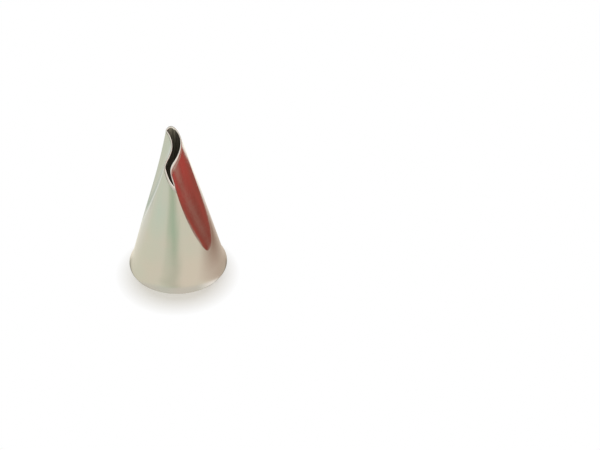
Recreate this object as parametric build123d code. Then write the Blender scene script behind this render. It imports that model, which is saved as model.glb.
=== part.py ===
from build123d import *
import math
import os

import numpy as np

# Piping nozzle with an S-curved petal mouth, in millimetres and degrees.
# The origin is the centre of the base rim, +Z points up the cone, and the mouth faces -Y.
# Azimuth 0 is the front (-Y) and grows towards +X; the weld seam runs up the back, at +Y.

# Sheet and cone
base_diameter = 24.0  # outside of the rim, where it rests
rim_flare = 0.41  # how far the rim stands out past the straight cone
rim_curl = 0.385  # the same at its inside face
rim_height = 2.6  # height over which the rim flares
nozzle_height = 42.0  # height up to which the pressings grow
apex_rise = 5.2  # from there to where the straight cone would come to a point
sheet_thickness = 0.25
fold_softness = 0.2  # how softly the sheet turns into a pressing

# The tip leans a little as the two pressings draw it over
lean_start_height = 20.0
lean_sideways = -0.48
lean_backwards = 0.68

# Mouth: the slanted cut across the folded tip
mouth_drop = 14.12  # from the nozzle's height down to the lip, the cut's lowest point
mouth_lip_inset = 0.11  # how far the lip lies inside the cone's inner face
mouth_slope = 62.7
mouth_roll = 11.5

# Front pressing, on the right of the mouth; its sharp ridge runs up to the mouth's lip
front_foot_height = 7.8
front_foot_azimuth = 57.1
front_ridge_spread = -44.2
front_ridge_turn_share = 1.14
front_border_spread = 83.3
front_border_turn_share = -0.026
front_push_azimuth = 66.8
front_depth_share = 0.462  # of the cone's inside radius at the lip
front_rise_power = 4.1
front_skew_power = 0.538
front_edge_power = 1.514

# Rear pressing, on the left of the mouth; its ridge runs up behind the mouth's wide end
rear_foot_height = 11.6
rear_foot_azimuth = -92.8
rear_ridge_spread = -28.6
rear_ridge_turn_share = 0.296
rear_border_spread = 38.1
rear_border_turn_share = 1.5
rear_push_azimuth = -98.7
rear_depth_share = 0.58
rear_rise_power = 2.5
rear_skew_power = 1.38
rear_edge_power = 0.917

# Weld seam up the back
weld_width = 0.6
weld_crown = 0.1  # how far the bead stands proud inside

# How finely the curved sections are worked out
rim_section_count = 5
cone_section_count = 21
section_spacing_power = 1.8
leg_point_counts = [24, 28, 26, 46]  # seam to rear ridge, rear border, front ridge, and seam again
least_leg_turn = 25.0
crease_crowding_share = 0.8
weld_point_count = 7
normal_turn = 3.0  # reach in azimuth and in height over which the sheet's slope is taken
normal_rise = 0.5
search_steps = 120
search_halvings = 24
full_turn = 360

apex_height = nozzle_height + apex_rise
cone_radius_at_base = base_diameter / 2 - rim_flare
cone_slope = math.atan2(cone_radius_at_base, apex_height)
inner_step = sheet_thickness / math.cos(cone_slope)


def inner_radius(height):
    """Inside radius of the cone, with its flared rim."""
    straight = cone_radius_at_base * (1 - height / apex_height) - inner_step
    return straight + rim_curl * np.clip(1 - height / rim_height, 0, None) ** 2


def lean_share(height):
    """How much of the tip's lean is reached at a height."""
    return np.clip((height - lean_start_height) / (nozzle_height - lean_start_height), 0, None) ** 2


mouth_lip_height = nozzle_height - mouth_drop
lip_radius = inner_radius(mouth_lip_height)
mouth_lip_reach = lip_radius - mouth_lip_inset
front_depth = lip_radius * front_depth_share
rear_depth = lip_radius * rear_depth_share


def border(height, foot_height, foot_azimuth, spread, turn_share):
    """Azimuth of a pressing's edge: it leaves the foot like a parabola, then turns on."""
    rise = np.clip((height - foot_height) / (nozzle_height - foot_height), 0, 1)
    return foot_azimuth + spread * np.sqrt(rise) * (1 + turn_share * rise)


def front_ridge(height):
    return border(height, front_foot_height, front_foot_azimuth, front_ridge_spread, front_ridge_turn_share)


def front_border(height):
    return border(height, front_foot_height, front_foot_azimuth, front_border_spread, front_border_turn_share)


def rear_ridge(height):
    return border(height, rear_foot_height, rear_foot_azimuth, rear_ridge_spread, rear_ridge_turn_share)


def rear_border(height):
    return border(height, rear_foot_height, rear_foot_azimuth, rear_border_spread, rear_border_turn_share)


def press(azimuth, height, ridge, edge, foot_height, depth, rise_power, skew_power, edge_power):
    """Inward travel of the sheet: a skewed half sine from the ridge to the far edge."""
    width = edge - ridge
    safe_width = np.where(np.abs(width) > 0, width, 1)
    across = np.where(np.abs(width) > 0, np.clip((azimuth - ridge) / safe_width, 0, 1), 0)
    rise = np.clip((height - foot_height) / (nozzle_height - foot_height), 0, 1)
    grown = depth * (1 - (1 - rise) ** rise_power)
    travel = np.sin(math.pi * across**skew_power).clip(0) ** edge_power * grown
    return np.sqrt(travel**2 + fold_softness**2) - fold_softness


def inner_point(azimuth, height):
    """Inner face of the sheet: the cone, pushed in by the two pressings and leaned over."""
    front = press(azimuth, height, front_ridge(height), front_border(height), front_foot_height,
                  front_depth, front_rise_power, front_skew_power, front_edge_power)
    rear = press(-azimuth, height, -rear_border(height), -rear_ridge(height), rear_foot_height,
                 rear_depth, rear_rise_power, rear_skew_power, rear_edge_power)
    lean = lean_share(height)
    radius = inner_radius(height)
    turn, front_turn, rear_turn = (np.radians(a) for a in (azimuth, front_push_azimuth, rear_push_azimuth))
    x = radius * np.sin(turn) - front * np.sin(front_turn) - rear * np.sin(rear_turn) + lean_sideways * lean
    y = -radius * np.cos(turn) + front * np.cos(front_turn) + rear * np.cos(rear_turn) + lean_backwards * lean
    return np.stack([x, y, height + 0 * x], axis=-1)


def outer_point(azimuth, height):
    """Outer face: the inner one, a sheet thickness away along its normal."""
    along = inner_point(azimuth + normal_turn, height) - inner_point(azimuth - normal_turn, height)
    up = inner_point(azimuth, height + normal_rise) - inner_point(azimuth, height - normal_rise)
    normal = np.cross(along, up)
    normal /= np.linalg.norm(normal, axis=-1, keepdims=True)
    return inner_point(azimuth, height) + sheet_thickness * normal


def back_azimuth(x, height):
    """Azimuth at the back where the inner face is x to the side of the axis."""
    side = (x - lean_sideways * lean_share(height)) / inner_radius(height)
    return full_turn / 2 - np.degrees(np.arcsin(np.clip(side, -1, 1)))


# A section's points go round in legs from crease to crease, closer together at the creases
point_legs = np.append(np.repeat(range(len(leg_point_counts)), leg_point_counts), len(leg_point_counts) - 1)
leg_shares = np.append(np.concatenate([np.arange(count) / count for count in leg_point_counts]), 1)
eased_shares = leg_shares - crease_crowding_share * np.sin(2 * math.pi * leg_shares) / (2 * math.pi)


def sheet_azimuths(height):
    """Azimuth of each point of the sheet's section, from seam to seam round the front."""
    creases = [
        back_azimuth(-weld_width / 2, height) - full_turn,
        rear_ridge(height),
        np.maximum(rear_border(height), rear_ridge(height) + least_leg_turn),
        front_ridge(height),
        back_azimuth(weld_width / 2, height),
    ]
    start = np.choose(point_legs, creases[:-1])
    end = np.choose(point_legs, creases[1:])
    return start + (end - start) * eased_shares


def sheet_points(face, height):
    """Points of the sheet's section, with both ends on the seam's straight edges."""
    points = face(sheet_azimuths(height), height)
    points[..., 0, 0] = -weld_width / 2
    points[..., -1, 0] = weld_width / 2
    return points


weld_shares = np.linspace(-1, 1, weld_point_count)


def weld_points(face, height):
    """Points across the weld, on a face or, inside, on the bead's crown."""
    across = weld_shares * weld_width / 2
    points = face(back_azimuth(across, height), height)
    points[..., 0] = across
    if face is inner_point:
        points[..., 1] -= weld_crown * (1 - weld_shares**2)
    return points


mouth_normal = np.array([
    math.sin(math.radians(mouth_roll)),
    -math.sin(math.radians(mouth_slope)) * math.cos(math.radians(mouth_roll)),
    math.cos(math.radians(mouth_slope)) * math.cos(math.radians(mouth_roll)),
])
mouth_offset = mouth_normal @ np.array([0, -mouth_lip_reach, mouth_lip_height])

# Each section's plane: level ones up the rim, then ones that tilt from level to the mouth's cut
tilt_steps = np.linspace(0, 1, cone_section_count + 1)[1:]
levels = np.append(np.linspace(0, rim_height, rim_section_count), np.full(cone_section_count, rim_height))
tilt_shares = np.append(np.zeros(rim_section_count), 1 - (1 - tilt_steps) ** section_spacing_power)


def sections(points_at, face, point_count):
    """Where a face meets each plane: the first crossing on the way up, then closed in on by halving."""
    level = levels[:, None]
    tilt = tilt_shares[:, None]

    def past_plane(height):
        point = points_at(face, height)
        return (1 - tilt) * (point[..., 2] - level) + tilt * (point @ mouth_normal - mouth_offset) > 0

    rungs = np.linspace(-sheet_thickness, apex_height - apex_rise / 2, search_steps + 1)
    first = np.zeros((len(levels), point_count), int)
    for rung in range(search_steps, 0, -1):
        first = np.where(past_plane(np.full((1, point_count), rungs[rung])), rung, first)
    low = rungs[first - 1]
    high = rungs[first]
    for _ in range(search_halvings):
        middle = (low + high) / 2
        past = past_plane(middle)
        high = np.where(past, middle, high)
        low = np.where(past, low, middle)
    return points_at(face, high)


def wall(points_at, point_count):
    """A closed wall of sheet: ruled bands between the sections' edges, and an end at the base and at the mouth."""
    outer_rows = sections(points_at, outer_point, point_count)
    inner_rows = sections(points_at, inner_point, point_count)
    outlines = []
    for outer, inner in zip(outer_rows, inner_rows):
        outer_edge = Edge.make_spline([Vector(*point) for point in outer], parameters=list(range(point_count)))
        inner_edge = Edge.make_spline([Vector(*point) for point in inner], parameters=list(range(point_count)))
        start_edge = Edge.make_line(outer_edge @ 0, inner_edge @ 0)
        end_edge = Edge.make_line(outer_edge @ 1, inner_edge @ 1)
        outlines.append([outer_edge, end_edge, inner_edge, start_edge])
    outer_edge, _, inner_edge, _ = outlines[-1]
    faces = [Face(Wire(outlines[0])), Face.make_surface_from_curves(outer_edge, inner_edge)]
    for lower, upper in zip(outlines, outlines[1:]):
        faces += [Face.make_surface_from_curves(low_edge, high_edge) for low_edge, high_edge in zip(lower, upper)]
    return Solid(Shell(faces))


os.makedirs("parts", exist_ok=True)
export_step(wall(sheet_points, len(point_legs)), "parts/cone_shell.step")
export_step(wall(weld_points, weld_point_count), "parts/seam_weld.step")
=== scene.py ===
import bpy
import math
import numpy as np
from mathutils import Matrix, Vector


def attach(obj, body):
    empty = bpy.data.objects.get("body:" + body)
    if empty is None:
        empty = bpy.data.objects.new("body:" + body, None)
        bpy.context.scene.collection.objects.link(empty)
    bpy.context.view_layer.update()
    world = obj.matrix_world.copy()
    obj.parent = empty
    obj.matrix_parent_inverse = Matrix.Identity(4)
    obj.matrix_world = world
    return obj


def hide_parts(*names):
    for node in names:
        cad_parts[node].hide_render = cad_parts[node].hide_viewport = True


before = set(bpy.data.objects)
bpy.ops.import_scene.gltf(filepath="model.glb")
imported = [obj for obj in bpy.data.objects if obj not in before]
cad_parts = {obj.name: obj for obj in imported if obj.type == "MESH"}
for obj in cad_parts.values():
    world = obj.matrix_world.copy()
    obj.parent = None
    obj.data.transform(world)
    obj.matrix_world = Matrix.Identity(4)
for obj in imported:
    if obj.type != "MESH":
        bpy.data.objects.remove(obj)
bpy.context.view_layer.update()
mm = 0.001
print("frame loaded:", sorted(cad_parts))


# Shader maths: + - * / on a Value add Math nodes, so an expression reads as it is worked out
class Value:
    def __init__(self, tree, socket):
        self.tree = tree
        self.socket = socket

    def mathNode(self, operation, *items):
        node = self.tree.nodes.new("ShaderNodeMath")
        node.operation = operation
        for place, item in enumerate(items):
            if isinstance(item, Value):
                self.tree.links.new(item.socket, node.inputs[place])
            else:
                node.inputs[place].default_value = item
        return Value(self.tree, node.outputs[0])

    def __add__(self, other):
        return self.mathNode("ADD", self, other)

    def __radd__(self, other):
        return self.mathNode("ADD", other, self)

    def __sub__(self, other):
        return self.mathNode("SUBTRACT", self, other)

    def __rsub__(self, other):
        return self.mathNode("SUBTRACT", other, self)

    def __mul__(self, other):
        return self.mathNode("MULTIPLY", self, other)

    def __rmul__(self, other):
        return self.mathNode("MULTIPLY", other, self)

    def __truediv__(self, other):
        return self.mathNode("DIVIDE", self, other)

    def __rtruediv__(self, other):
        return self.mathNode("DIVIDE", other, self)

    def __abs__(self):
        return self.mathNode("ABSOLUTE", self)

    def atLeast(self, other):
        return self.mathNode("MAXIMUM", self, other)

    def clamped(self):
        return self.mathNode("MINIMUM", self, 1.0).atLeast(0.0)

    # 0 at the start and 1 a width further on; a width below 0 runs the other way
    def rise(self, start, width):
        return ((self - start) / width).clamped()


# A node tree to build in: add() makes one node from its type, settings, and inputs by name or number
class Shader:
    def __init__(self, owner):
        owner.use_nodes = True
        self.tree = owner.node_tree
        self.tree.nodes.clear()

    def add(self, kind, settings=None, inputs=None, output=0):
        node = self.tree.nodes.new(kind)
        for name, setting in (settings or {}).items():
            setattr(node, name, setting)
        for name, item in (inputs or {}).items():
            if isinstance(item, Value):
                self.tree.links.new(item.socket, node.inputs[name])
            else:
                node.inputs[name].default_value = item
        return Value(self.tree, node.outputs[output]) if node.outputs else None

    def noise(self, vector, scale, detail=2.0, roughness=0.5):
        wanted = {"Vector": vector, "Scale": scale, "Detail": detail, "Roughness": roughness}
        return self.add("ShaderNodeTexNoise", inputs=wanted, output="Fac")

    def vectorMaths(self, operation, first, second, output="Vector"):
        return self.add("ShaderNodeVectorMath", {"operation": operation}, {0: first, 1: second}, output)

    def axis(self, vector, name):
        return self.add("ShaderNodeSeparateXYZ", inputs={0: vector}, output=name)

    # A mix of two colours, each a Value or three numbers; the node's sockets 6, 7 and 2 are its colours
    def blend(self, factor, first, second):
        first, second = (item if isinstance(item, Value) else (*item, 1) for item in (first, second))
        wanted = {"Factor": factor, 6: first, 7: second}
        return self.add("ShaderNodeMix", {"data_type": "RGBA"}, wanted, output=2)

    def mixShader(self, factor, first, second):
        return self.add("ShaderNodeMixShader", inputs={0: factor, 1: first, 2: second})


# The formed sheet

cone = {
    "baseDiameter": 24.0 * mm,
    "rimFlare": 0.41 * mm,  # outside of the rim past the straight cone
    "rimCurl": 0.385 * mm,  # the same at the inside face
    "rimHeight": 2.6 * mm,
    "apexHeight": 47.2 * mm,
    "topHeight": 42.0 * mm,  # height up to which the pressings grow
    "thickness": 0.25 * mm,
    "foldSoftness": 0.2 * mm,
    "leanStart": 20.0 * mm,
    "leanSideways": -0.48 * mm,
    "leanBackwards": 0.68 * mm,
}

mouth = {
    "drop": 14.12 * mm,  # from the top height down to the lip
    "inset": 0.11 * mm,  # the lip's distance inside the cone's inner face
    "slope": 62.7,
    "roll": 11.5,
}

# Azimuths are in degrees from the front, growing towards +X.
# Depths are shares of the inside radius at the lip.
frontPressing = {
    "footHeight": 7.8 * mm, "footAzimuth": 57.1, "pushAzimuth": 66.8, "depthShare": 0.462,
    "lowSpread": -44.2, "lowTurn": 1.14, "highSpread": 83.3, "highTurn": -0.026,
    "risePower": 4.1, "skewPower": 0.538, "edgePower": 1.514,
}
rearPressing = {
    "footHeight": 11.6 * mm, "footAzimuth": -92.8, "pushAzimuth": -98.7, "depthShare": 0.58,
    "lowSpread": -28.6, "lowTurn": 0.296, "highSpread": 38.1, "highTurn": 1.5,
    "risePower": 2.5, "skewPower": 1.38, "edgePower": 0.917,
}

# How finely the surfaces are worked out, and how their cut edges are rounded off
grid = {
    "legCounts": (50, 56, 46, 112),  # seam, rear ridge, rear border, front ridge, seam again
    "leastLeg": 25.0,
    "crowding": 0.8,  # how much closer the columns stand at the creases
    "rimRows": 14,
    "rimPower": 1.3,
    "coneRows": 96,
    "rowPower": 1.6,
    "edgeRows": 12,
    "outerReach": 0.18 * mm,  # how far a rounding reaches across the edge, and down the face
    "outerDepth": 0.09 * mm,
    "innerReach": 0.03 * mm,
    "innerDepth": 0.03 * mm,
    "paleRange": (0.40, 0.25),  # where the mouth's edge turns pale, partly burnished and partly a painted highlight, as shares of the way across it
    "normalTurn": 3.0,
    "normalRise": 0.5 * mm,
    "searchSteps": 160,
    "halvings": 26,
}

weld = {
    "width": 0.6 * mm,
    "crownInside": 0.1 * mm,
    "crownOutside": 0.012 * mm,
    "columns": 13,
}

coneRadiusAtBase = cone["baseDiameter"] / 2 - cone["rimFlare"]
innerStep = cone["thickness"] / math.cos(math.atan2(coneRadiusAtBase, cone["apexHeight"]))


# Inside radius: a straight cone less the sheet, plus the rim's flare, which falls off as a square
def innerRadius(height):
    straight = coneRadiusAtBase * (1 - height / cone["apexHeight"]) - innerStep
    return straight + cone["rimCurl"] * np.clip(1 - height / cone["rimHeight"], 0, None) ** 2


lipHeight = cone["topHeight"] - mouth["drop"]
lipRadius = innerRadius(lipHeight)


# How far a height is from a pressing's foot to the top, from 0 to 1
def pressingRise(pressing, height):
    foot = pressing["footHeight"]
    return np.clip((height - foot) / (cone["topHeight"] - foot), 0, 1)


# Azimuth of a pressing's edge: foot + spread * sqrt(rise) * (1 + turn * rise)
def pressingEdge(pressing, height, side):
    rise = pressingRise(pressing, height)
    turned = 1 + pressing[side + "Turn"] * rise
    return pressing["footAzimuth"] + pressing[side + "Spread"] * np.sqrt(rise) * turned


# Inward travel: depth * (1 - (1 - rise)^power) * sin(pi * across^skew)^edge, softened at its start
def pressingTravel(pressing, azimuth, height, start, end):
    width = np.where(np.abs(end - start) > 0, end - start, 1)
    across = np.where(np.abs(end - start) > 0, np.clip((azimuth - start) / width, 0, 1), 0)
    rise = pressingRise(pressing, height)
    grown = lipRadius * pressing["depthShare"] * (1 - (1 - rise) ** pressing["risePower"])
    profile = np.sin(math.pi * across ** pressing["skewPower"]).clip(0) ** pressing["edgePower"]
    travel = profile * grown
    return np.sqrt(travel ** 2 + cone["foldSoftness"] ** 2) - cone["foldSoftness"]


# Share of the tip's lean: the square of how far the height is from where it starts to the top
def leanShare(height):
    return np.clip((height - cone["leanStart"]) / (cone["topHeight"] - cone["leanStart"]), 0, None) ** 2


# Inner face: radius * (sin, -cos) of the azimuth, less each pressing's travel along its own push,
# plus the lean
def innerPoint(azimuth, height):
    lowFront, highFront = (pressingEdge(frontPressing, height, side) for side in ("low", "high"))
    lowRear, highRear = (pressingEdge(rearPressing, height, side) for side in ("low", "high"))
    front = pressingTravel(frontPressing, azimuth, height, lowFront, highFront)
    rear = pressingTravel(rearPressing, -azimuth, height, -highRear, -lowRear)
    frontPush = math.radians(frontPressing["pushAzimuth"])
    rearPush = math.radians(rearPressing["pushAzimuth"])
    turn = np.radians(azimuth)
    radius = innerRadius(height)
    lean = leanShare(height)
    x = radius * np.sin(turn) - front * math.sin(frontPush) - rear * math.sin(rearPush)
    y = -radius * np.cos(turn) + front * math.cos(frontPush) + rear * math.cos(rearPush)
    x = x + cone["leanSideways"] * lean
    y = y + cone["leanBackwards"] * lean
    return np.stack([x, y, height + 0 * x], axis=-1)


# Outward normal: the cross product of the steps round and up, made one long
def sheetNormal(azimuth, height):
    turn, rise = grid["normalTurn"], grid["normalRise"]
    along = innerPoint(azimuth + turn, height) - innerPoint(azimuth - turn, height)
    up = innerPoint(azimuth, height + rise) - innerPoint(azimuth, height - rise)
    normal = np.cross(along, up)
    return normal / np.linalg.norm(normal, axis=-1, keepdims=True)


# A face of the sheet: the inner face plus some distance along the normal
def facePoint(azimuth, height, distance):
    return innerPoint(azimuth, height) + sheetNormal(azimuth, height) * distance[:, None]


# Azimuth behind the cone at which the inner face is at a given x: 180 - arcsine of (x - lean) / radius
def backAzimuth(x, height):
    side = (x - cone["leanSideways"] * leanShare(height)) / innerRadius(height)
    return 180 - np.degrees(np.arcsin(np.clip(side, -1, 1)))


slope, roll = math.radians(mouth["slope"]), math.radians(mouth["roll"])
mouthNormal = np.array([
    math.sin(roll),
    -math.sin(slope) * math.cos(roll),
    math.cos(slope) * math.cos(roll),
])
mouthOffset = mouthNormal @ np.array([0, mouth["inset"] - lipRadius, lipHeight])


# Rows of a face, one for each plane: first crossing on a ladder of heights, then closed in on by halving.
# Each plane is (1 - tilt) * (z - level) + tilt * (distance past the mouth's cut + sink) = 0
def faceRows(azimuthsAt, distance, levels, tilts, sinks):
    levels, tilts, sinks = (values[:, None] for values in (levels, tilts, sinks))

    def past(height):
        point = facePoint(azimuthsAt(height), height, distance)
        pastCut = point @ mouthNormal - mouthOffset + sinks
        return (1 - tilts) * (point[..., 2] - levels) + tilts * pastCut > 0

    ladder = np.linspace(-2 * cone["thickness"], cone["topHeight"], grid["searchSteps"] + 1)
    first = np.zeros((len(levels), len(distance)), int)
    for rung in reversed(range(len(ladder))):
        first = np.where(past(np.full((1, len(distance)), ladder[rung])), rung, first)
    low, high = ladder[first - 1], ladder[first]
    for _ in range(grid["halvings"]):
        middle = (low + high) / 2
        beyond = past(middle)
        high = np.where(beyond, middle, high)
        low = np.where(beyond, low, middle)
    return facePoint(azimuthsAt(high), high, distance)


# The planes up the sheet: level ones up the flared rim, then ones that tilt steadily to the mouth's cut.
# The second and the last but one lie an edge's depth inside the ends, for its rounding.
def sheetPlanes(edgeDepth):
    rim = np.linspace(0, 1, grid["rimRows"]) ** grid["rimPower"] * cone["rimHeight"]
    steps = np.linspace(0, 1, grid["coneRows"] + 1)[1:]
    levels = np.concatenate([[0], rim, np.full(len(steps) + 1, cone["rimHeight"])])
    tilts = np.concatenate([np.zeros(len(rim) + 1), 1 - (1 - steps) ** grid["rowPower"], [1]])
    sinks = np.zeros(len(levels))
    levels[1] = edgeDepth
    sinks[-2] = edgeDepth
    return levels, tilts, sinks


# Shares of the way across a cut edge: a cosine, closer together at its corners
edgeShares = (1 - np.cos(math.pi * np.linspace(0, 1, grid["edgeRows"] + 2)[1:-1])) / 2


# Edge rows from one face to the other: a straight blend, sunk back near both corners
# along a quarter ellipse
def edgeRows(firstFlat, firstSunk, firstReach, lastFlat, lastSunk, lastReach):
    firstNear = np.clip(1 - edgeShares * cone["thickness"] / firstReach, 0, 1)
    lastNear = np.clip(1 - (1 - edgeShares) * cone["thickness"] / lastReach, 0, 1)
    sunk = (1 - np.sqrt(1 - np.maximum(firstNear, lastNear) ** 2))[:, None, None]
    first = firstFlat + (firstSunk - firstFlat) * sunk
    last = lastFlat + (lastSunk - lastFlat) * sunk
    return first + (last - first) * edgeShares[:, None, None]


# A closed wall between two distances from the inner face: up the outer face, over the mouth's edge,
# down the inner face and round the base edge. Gives its rows, and how many of them a face has.
def wallLoop(azimuthsAt, outerDistance, innerDistance):
    outer = faceRows(azimuthsAt, outerDistance, *sheetPlanes(grid["outerDepth"]))
    inner = faceRows(azimuthsAt, innerDistance, *sheetPlanes(grid["innerDepth"]))
    outerReach, innerReach = grid["outerReach"], grid["innerReach"]
    over = edgeRows(outer[-1], outer[-2], outerReach, inner[-1], inner[-2], innerReach)
    under = edgeRows(inner[0], inner[1], innerReach, outer[0], outer[1], outerReach)
    return np.concatenate([outer[1:-1], over, inner[1:-1][::-1], under]), len(outer) - 2


# A mask on the points, one value for each row, which the materials read
def markRows(mesh, name, mask, columns):
    values = np.repeat(mask, columns).astype(np.float32)
    mesh.attributes.new(name, "FLOAT", "POINT").data.foreach_set("value", values)


# Makes a mesh of a grid that closes from its last row to its first, with its two ends capped row by row
def loopMesh(name, loop, faceRowCount, material):
    rows, columns = loop.shape[:2]
    number = np.arange(rows * columns).reshape(rows, columns)
    above = np.roll(number, -1, axis=0)
    corners = [number[:, :-1], number[:, 1:], above[:, 1:], above[:, :-1]]
    quads = [np.stack(corners, axis=-1).reshape(-1, 4)]
    halfEdge = grid["edgeRows"] // 2
    halfWay = faceRowCount + halfEdge
    outerRows = np.concatenate([number[-halfEdge:], number[:halfWay]])
    innerRows = number[halfWay:-halfEdge][::-1]
    for column, order in ((0, 1), (-1, -1)):
        a, b = outerRows[:, column], innerRows[:, column]
        quads.append(np.stack([a[:-1], a[1:], b[1:], b[:-1]], axis=-1)[:, ::order])
    mesh = bpy.data.meshes.new(name)
    mesh.from_pydata(loop.reshape(-1, 3).tolist(), [], np.concatenate(quads).tolist())
    mesh.validate()
    mesh.polygons.foreach_set("use_smooth", np.ones(len(mesh.polygons), bool))
    mesh.materials.append(material)
    paleStart, paleWidth = grid["paleRange"]
    edgeEnd = faceRowCount + grid["edgeRows"]
    # Pale mask of the mouth's cut edge, which the steel turns near white: partly burnished, partly a
    # painted highlight
    cut = np.zeros(rows)
    cut[faceRowCount:edgeEnd] = np.clip((edgeShares - paleStart) / paleWidth, 0, 1)
    row = np.arange(rows)
    markRows(mesh, "cutEdge", cut, columns)
    # Mask of the inner face, which the steel roughens and darkens as painted shade
    markRows(mesh, "inside", (row > edgeEnd) & (row < edgeEnd + faceRowCount), columns)
    piece = bpy.data.objects.new(name, mesh)
    bpy.context.scene.collection.objects.link(piece)
    return piece


# Columns of the sheet: from seam to seam round the front, in legs between creases, closer at the creases
legs = np.repeat(range(len(grid["legCounts"])), grid["legCounts"])
legShares = np.concatenate([np.arange(count) / count for count in grid["legCounts"]])
legs = np.append(legs, len(grid["legCounts"]) - 1)
legShares = np.append(legShares, 1.0)
easedShares = legShares - grid["crowding"] * np.sin(2 * math.pi * legShares) / (2 * math.pi)


# Azimuth of each column at its height: an eased share of the way from the leg's crease to the next
def sheetAzimuths(height):
    lowRear = pressingEdge(rearPressing, height, "low")
    creases = np.stack([
        backAzimuth(-weld["width"] / 2, height) - 360,
        lowRear,
        np.maximum(pressingEdge(rearPressing, height, "high"), lowRear + grid["leastLeg"]),
        pressingEdge(frontPressing, height, "low"),
        backAzimuth(weld["width"] / 2, height),
    ])
    columns = np.arange(len(legs))
    start = np.moveaxis(creases[legs, :, columns], 0, -1)
    end = np.moveaxis(creases[legs + 1, :, columns], 0, -1)
    return start + (end - start) * easedShares


# Columns of the weld: even steps across its width
weldShares = np.linspace(1, -1, weld["columns"])


def weldAzimuths(height):
    return backAzimuth(weldShares * weld["width"] / 2, height)


def makeShell(material):
    outside = np.full(len(legs), cone["thickness"])
    loop, faceRowCount = wallLoop(sheetAzimuths, outside, np.zeros(len(legs)))
    shell = loopMesh("nozzle_sheet", loop, faceRowCount, material)
    print("sheet:", len(shell.data.vertices), "points")
    return shell


# The weld's wall follows the sheet's, with a low hump on both faces: 1 - the square of the share across
def makeWeld(material):
    hump = 1 - weldShares ** 2
    outside = cone["thickness"] + weld["crownOutside"] * hump
    loop, faceRowCount = wallLoop(weldAzimuths, outside, -weld["crownInside"] * hump)
    bead = loopMesh("seam_bead", loop, faceRowCount, material)
    print("weld:", len(bead.data.vertices), "points")
    return bead


# Materials. A range is where a mask starts to grow and the width over which it reaches 1.

steel = {
    "colour": (0.605, 0.60, 0.585),
    # Cool and warm tints: tone that varies at random, and partly painted reflections of greenish and
    # beige surroundings
    "coolTintAndReflection": (0.58, 0.605, 0.575),
    "warmTintAndReflection": (0.635, 0.60, 0.57),
    "edgeColourAndHighlight": (0.98, 0.97, 0.95),  # the mouth's cut edge: lighter where burnished, and partly a painted highlight
    # The inside of the cone is darker: painted shade in the hollow
    "insideShadeColour": (0.33, 0.315, 0.265),
    "roughness": 0.17,
    "ringSpread": 0.08,  # how much the turning marks and the patches vary the roughness
    "patchSpread": 0.06,
    "weldRoughness": 0.12,  # added on the weld, which is ground
    "edgeRoughness": 0.25,  # added on the cut edge
    "insideRoughness": 0.22,  # added inside, which isn't polished
    "edgeMetallic": 0.8,
    "insideMetallic": 0.8,
    "tintScale": 0.075,  # per mm
    "tintRange": (0.38, 0.25),
    "patchScale": 0.16,
    "patchRange": (0.35, 0.625),
    "patchShare": 0.5,
    "waveScale": 0.11,
    "ringScale": (0.12, 0.12, 7.0),  # turning marks run round the cone
    "drawScale": (5.0, 5.0, 0.22),  # and drawing marks run up it
    "waveHeight": 0.035 * mm,
    "ringHeight": 0.0015 * mm,
    "drawHeight": 0.0009 * mm,
}


def steelMaterial(name, addedRoughness):
    made = bpy.data.materials.new(name)
    s = Shader(made)
    place = s.add("ShaderNodeTexCoord", output="Object")
    inMm = s.add("ShaderNodeVectorMath", {"operation": "SCALE"}, {0: place, "Scale": 1 / mm})
    tint = s.noise(inMm, steel["tintScale"])
    patch = s.noise(inMm, steel["patchScale"], detail=3.0)
    wave = s.noise(inMm, steel["waveScale"], detail=1.0, roughness=0.4)
    ringPlace = s.vectorMaths("MULTIPLY", inMm, steel["ringScale"])
    drawPlace = s.vectorMaths("MULTIPLY", inMm, steel["drawScale"])
    rings = s.noise(ringPlace, scale=1.0, detail=4.0, roughness=0.6)
    draws = s.noise(drawPlace, scale=1.0, detail=3.0, roughness=0.6)
    edge = s.add("ShaderNodeAttribute", {"attribute_name": "cutEdge"}, output="Fac")
    inside = s.add("ShaderNodeAttribute", {"attribute_name": "inside"}, output="Fac")

    # Random cool and warm patches, partly painted reflections of greenish and beige surroundings, broken
    # up by plain patches
    colour = s.blend(tint.rise(*steel["tintRange"]), steel["coolTintAndReflection"], steel["warmTintAndReflection"])
    colour = s.blend(patch.rise(*steel["patchRange"]) * steel["patchShare"], colour, steel["colour"])
    # The cut edge turns near white: partly a lighter burnished edge, partly a painted highlight
    colour = s.blend(edge, colour, steel["edgeColourAndHighlight"])
    # Painted shade: the inside of the cone turns dark
    colour = s.blend(inside, colour, steel["insideShadeColour"])

    roughness = steel["roughness"] + addedRoughness + (rings - 0.5) * steel["ringSpread"]
    roughness = roughness + (patch - 0.5) * steel["patchSpread"]
    roughness = roughness + edge * steel["edgeRoughness"] + inside * steel["insideRoughness"]
    metallic = 1 - inside * (1 - steel["insideMetallic"]) - edge * (1 - steel["edgeMetallic"])

    height = wave * (steel["waveHeight"] / mm) + rings * (steel["ringHeight"] / mm)
    height = height + draws * (steel["drawHeight"] / mm)
    bump = s.add("ShaderNodeBump", inputs={"Height": height, "Distance": mm, "Strength": 1.0})
    wanted = {"Base Color": colour, "Metallic": metallic, "Roughness": roughness, "Normal": bump}
    surface = s.add("ShaderNodeBsdfPrincipled", inputs=wanted)
    s.add("ShaderNodeOutputMaterial", inputs={"Surface": surface})
    return made


shell = makeShell(steelMaterial("polished_sheet", addedRoughness=0.0))
bead = makeWeld(steelMaterial("ground_weld", steel["weldRoughness"]))
for piece, node, slot in ((shell, "cone_shell", "sheet_steel"), (bead, "seam_weld", "weld_steel")):
    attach(piece, "root")
    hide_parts(node)


# Stage: a pale floor, a card that only the steel mirrors, a studio world, one softbox and the camera

floor = {
    "size": 3.0,
    "colour": (0.895, 0.87, 0.81),
    "shadeCentre": (0.0, -4.6 * mm, 0.0),
    "shadeRange": (9.2 * mm, 6.0 * mm),  # from the shade round the foot out to the white background
}

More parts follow.
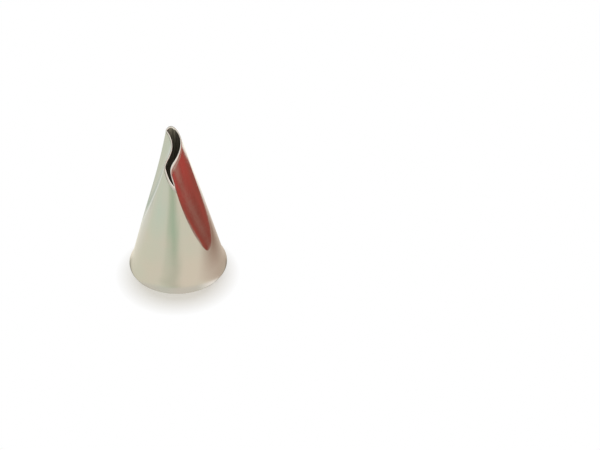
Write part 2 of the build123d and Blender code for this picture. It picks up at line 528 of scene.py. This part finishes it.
# The floor as the steel mirrors it; a patch is its x, y, outer radius and the width of its soft edge
mirrored = {
    "nearTone": (0.96, 0.89, 0.73),
    "leftTone": (0.84, 0.92, 0.77),
    "leftRange": (-30 * mm, -35 * mm),
    "noiseScale": 38.0,
    "blushTone": (1.0, 0.87, 0.76),
    "blushRange": (0.45, 0.25),
    "blushShare": 0.45,
    "sectorTone": (0.76, 0.73, 0.585),  # a duller sector towards the front
    "sectorFarTone": (0.58, 0.68, 0.50),
    "sectorFarRange": (35 * mm, 30 * mm),
    "sectorMiddle": -0.19,  # sideways over forwards
    "sectorRange": (0.429, -0.33),
    "sectorWander": 0.9,
    "backTone": (1.45, 1.38, 1.28),
    "backLeftTone": (0.98, 1.00, 0.93),
    "backRange": (0, 25 * mm),
    "backRightRange": (-15 * mm, 20 * mm),
    "shadeTone": (0.44, 0.28, 0.21),
    "shadePatch": (28 * mm, 10 * mm, 31.2 * mm, 26 * mm),
    "stripTone": (0.60, 0.68, 0.57),
    "stripPatch": (-51 * mm, 18 * mm, 10.8 * mm, 9 * mm),
    "contactShadowRange": (12.0 * mm, 1.1 * mm),  # painted contact shadow: a dark line round the foot
    "contactShadowStrength": 0.20,
    "frontOpenRange": (-8.2 * mm, -3.0 * mm),  # no painted shadow line in front and behind
    "backOpenRange": (-3.0 * mm, 5.0 * mm),
    "underShadeRange": (11.8 * mm, 0.2 * mm),  # painted shade: it is dark under the nozzle
    "underShadeStrength": 0.11,
}

card = {
    "centre": (40.0 * mm, -26.3 * mm, 24.9 * mm),
    "halfSize": (60.5 * mm, 11.8 * mm),
    "tilt": -25.0,
    "softness": 0.12,  # share of the half size over which its edges fade
    "redTone": (0.62, 0.085, 0.070),
    "brownTone": (0.42, 0.095, 0.070),
    "brownRange": (4.0 * mm, 30.0 * mm),
    "brownStreaks": 2.0,
    "darkTone": (0.285, 0.058, 0.042),
    "darkRange": (-2.0 * mm, -10.0 * mm),
    "darkStreaks": 0.8,
    "streakScale": 160.0,
}

# The tones are the world as the steel mirrors it, which brightens to the back and to the right
studio = {
    "strength": 0.75,
    "frontTone": (0.84, 0.80, 0.71),
    "backTone": (1.42, 1.38, 1.32),
    "backwards": 1.15,
    "rightwards": 1.1,
    "overhead": 0.08,
}

softbox = {
    "place": (-0.5, -0.3, 0.9),
    "target": (0, 0, 0),
    "size": 0.7,
    "power": 1.2,
}

view = {
    "place": (0.02986, -0.5006, 0.4473),
    "tilt": 48.97,
    "sensorWidth": 36.0,
    "focalLength": 2736 / 600,  # over the picture's width, both in pixels
    "clipStart": 0.01,
}


def link(name, data):
    holder = bpy.data.objects.new(name, data)
    bpy.context.scene.collection.objects.link(holder)
    return holder


def makePlane(name, corners, material):
    mesh = bpy.data.meshes.new(name)
    mesh.from_pydata(corners, [], [(0, 1, 2, 3)])
    mesh.materials.append(material)
    return link(name, mesh)


# 1 in a patch's middle, falling to 0 at its outer radius
def patchMask(s, place, patch):
    x, y, outerRadius, softEdge = patch
    away = s.vectorMaths("DISTANCE", place, (x, y, 0.0), "Value")
    return away.rise(outerRadius, -softEdge)


# The floor as the steel mirrors it: warm and pale, greener at the left and far in front, bright behind
def mirroredFloor(s, place):
    x, y = s.axis(place, "X"), s.axis(place, "Y")
    away = s.vectorMaths("LENGTH", place, (0, 0, 0), "Value")
    patches = s.noise(place, mirrored["noiseScale"])
    tone = s.blend(x.rise(*mirrored["leftRange"]), mirrored["nearTone"], mirrored["leftTone"])
    blush = patches.rise(*mirrored["blushRange"]) * mirrored["blushShare"]
    tone = s.blend(blush, tone, mirrored["blushTone"])

    sideways = x / (mm - y).atLeast(mm) + (patches - 0.5) * mirrored["sectorWander"]
    sector = abs(sideways - mirrored["sectorMiddle"]).rise(*mirrored["sectorRange"])
    far = away.rise(*mirrored["sectorFarRange"])
    tone = s.blend(sector, tone, s.blend(far, mirrored["sectorTone"], mirrored["sectorFarTone"]))

    right = x.rise(*mirrored["backRightRange"])
    backTone = s.blend(right, mirrored["backLeftTone"], mirrored["backTone"])
    tone = s.blend(y.rise(*mirrored["backRange"]), tone, backTone)
    for name in ("shade", "strip"):
        tone = s.blend(patchMask(s, place, mirrored[name + "Patch"]), tone, mirrored[name + "Tone"])

    # Painted shadow in the mirrored floor: a dark contact line round the foot, left out in front and
    # behind, and painted shade under the nozzle
    contact, under = mirrored["contactShadowStrength"], mirrored["underShadeStrength"]
    strength = away.rise(*mirrored["contactShadowRange"]) * (1 - contact) + contact
    noLine = y.rise(*mirrored["frontOpenRange"]) + y.rise(*mirrored["backOpenRange"])
    strength = strength.atLeast(noLine) * away.rise(*mirrored["underShadeRange"]) * (1 - under) + under
    return s.add("ShaderNodeEmission", inputs={"Color": tone, "Strength": strength})


def makeFloor():
    made = bpy.data.materials.new("pale_floor")
    s = Shader(made)
    place = s.add("ShaderNodeTexCoord", output="Object")
    fade = s.vectorMaths("DISTANCE", place, floor["shadeCentre"], "Value").rise(*floor["shadeRange"])
    seen = s.add("ShaderNodeLightPath", output="Is Camera Ray")
    through = s.add("ShaderNodeLightPath", output="Is Transmission Ray")
    glossy = s.add("ShaderNodeLightPath", output="Is Glossy Ray")
    matt = s.add("ShaderNodeBsdfDiffuse", inputs={"Color": (*floor["colour"], 1)})
    white = s.add("ShaderNodeEmission", inputs={"Color": (1, 1, 1, 1), "Strength": 1.0})
    surface = s.mixShader(fade * (seen + through).clamped(), matt, white)
    surface = s.mixShader(glossy, surface, mirroredFloor(s, place))
    s.add("ShaderNodeOutputMaterial", inputs={"Surface": surface})
    half = floor["size"] / 2
    corners = [(-half, -half, 0), (half, -half, 0), (half, half, 0), (-half, half, 0)]
    holder = makePlane("floor", corners, made)


# A card standing at the right, which only the steel mirrors: it darkens and warms the front pressing
def makeCard():
    wide, tall = card["halfSize"]
    made = bpy.data.materials.new("warm_card")
    s = Shader(made)
    place = s.add("ShaderNodeTexCoord", output="Object")
    y, z = s.axis(place, "Y"), s.axis(place, "Z")
    streaks = s.noise(place, card["streakScale"]) - 0.5
    brownStart, brownWidth = card["brownRange"]
    darkStart, darkWidth = card["darkRange"]
    brown = ((y - brownStart) / brownWidth + streaks * card["brownStreaks"]).clamped()
    dark = ((z - darkStart) / darkWidth + streaks * card["darkStreaks"]).clamped()
    tone = s.blend(brown, card["redTone"], card["brownTone"])
    tone = s.blend(dark, tone, card["darkTone"])
    outwards = (abs(y) / wide).atLeast(abs(z) / tall)
    clear = s.add("ShaderNodeBsdfTransparent")
    glow = s.add("ShaderNodeEmission", inputs={"Color": tone, "Strength": 1.0})
    surface = s.mixShader(outwards.rise(1, -card["softness"]), clear, glow)
    s.add("ShaderNodeOutputMaterial", inputs={"Surface": surface})
    corners = [(0, -wide, -tall), (0, wide, -tall), (0, wide, tall), (0, -wide, tall)]
    holder = makePlane("card", corners, made)
    holder.location = card["centre"]
    holder.rotation_euler = (math.radians(card["tilt"]), 0, 0)
    for way in ("camera", "diffuse", "transmission", "volume_scatter", "shadow"):
        setattr(holder, "visible_" + way, False)


def makeStudio():
    world = bpy.data.worlds.new("studio")
    bpy.context.scene.world = world
    s = Shader(world)
    seen = s.add("ShaderNodeLightPath", output="Is Camera Ray")
    glossy = s.add("ShaderNodeLightPath", output="Is Glossy Ray")
    way = s.add("ShaderNodeTexCoord", output="Generated")
    bright = s.axis(way, "Y") * studio["backwards"] + s.axis(way, "X") * studio["rightwards"]
    tone = s.blend((bright + studio["overhead"]).clamped(), studio["frontTone"], studio["backTone"])
    strength = seen * (1 - studio["strength"]) + studio["strength"]
    light = s.add("ShaderNodeBackground", inputs={"Color": (1, 1, 1, 1), "Strength": strength})
    reflected = s.add("ShaderNodeBackground", inputs={"Color": tone, "Strength": 1.0})
    s.add("ShaderNodeOutputWorld", inputs={"Surface": s.mixShader(glossy, light, reflected)})


def makeSoftbox():
    lamp = bpy.data.lights.new("softbox", "AREA")
    lamp.size = softbox["size"]
    lamp.energy = softbox["power"]
    holder = link("softbox", lamp)
    holder.location = softbox["place"]
    aim = Vector(softbox["target"]) - Vector(softbox["place"])
    holder.rotation_euler = aim.to_track_quat("-Z", "Y").to_euler()


def makeCamera():
    camera = bpy.data.cameras.new("camera")
    camera.sensor_width = view["sensorWidth"]
    camera.lens = view["focalLength"] * camera.sensor_width
    camera.clip_start = view["clipStart"]
    holder = link("camera", camera)
    holder.location = view["place"]
    holder.rotation_euler = (math.radians(view["tilt"]), 0, 0)
    bpy.context.scene.camera = holder


makeFloor()
makeCard()
makeStudio()
makeSoftbox()
makeCamera()
bpy.context.scene.view_settings.view_transform = "Standard"
print("stage made")
